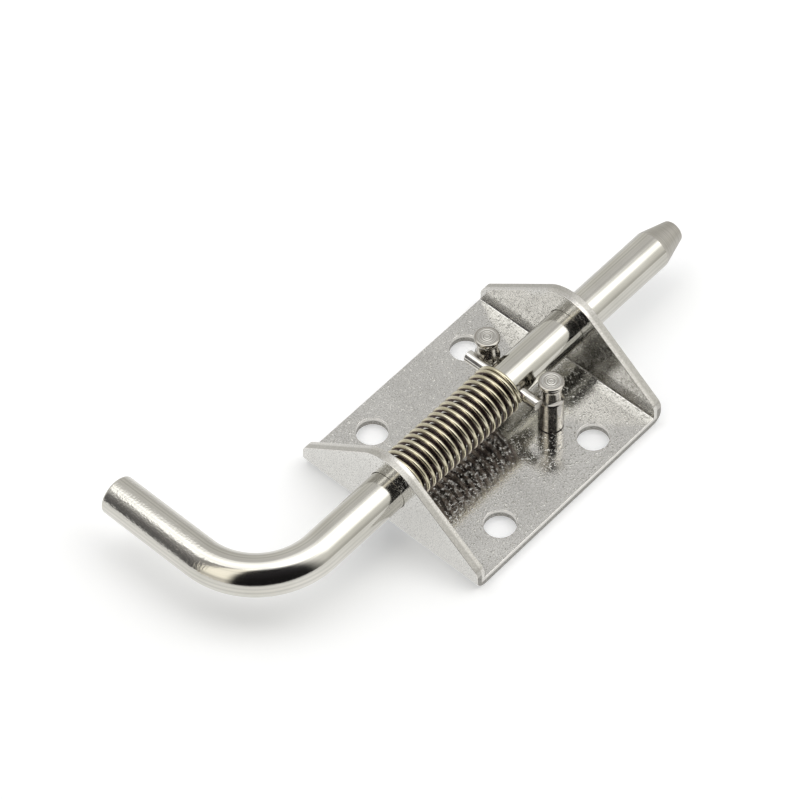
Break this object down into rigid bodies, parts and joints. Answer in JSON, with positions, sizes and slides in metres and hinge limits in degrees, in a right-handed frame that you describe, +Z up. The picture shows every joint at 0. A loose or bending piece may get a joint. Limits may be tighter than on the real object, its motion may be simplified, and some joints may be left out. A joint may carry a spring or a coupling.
{
  "type": "spring bolt",
  "caption": "Spring bolt: a round bolt with a bent handle slides in a folded bracket, pushed forward by a coil spring until its cross pin meets the stop posts.",
  "frame": {"origin": "centre of the underside of the base, in the middle of the four screw holes", "axes": "+X along the bolt towards its tip, +Y towards the side that the handle points to, +Z up from the surface it is screwed to"},
  "size_m": [0.1174, 0.058, 0.0199],
  "materials": {
    "sheet_steel": "folded stainless sheet, tumbled bright with a fine grain",
    "polished_bar": "polished stainless bar",
    "spring_wire": "drawn stainless spring wire with a warm cast",
    "turned_steel": "turned stainless, satin heads with turning rings"
  },
  "bodies": {
    "bracket_assembly": {"bracket": "sheet_steel", "post_left": "turned_steel", "post_right": "turned_steel"},
    "return_spring": {"spring": "spring_wire"},
    "bolt": {"bolt_rod": "polished_bar", "cross_pin": "polished_bar"}
  },
  "joints": [
    {"name": "bolt_slide", "type": "slide", "parent": "bracket_assembly", "child": "return_spring", "axis": [1, 0, 0], "range_m": [-0.0115, 0], "stiffness_N_per_m": 420, "springref_m": 0.006, "deforming": ["spring"]},
    {"name": "bolt_turn", "type": "hinge", "parent": "return_spring", "child": "bolt", "pos_m": [0, 0, 0.0113], "axis": [1, 0, 0], "range_deg": [0, 180]}
  ]
}
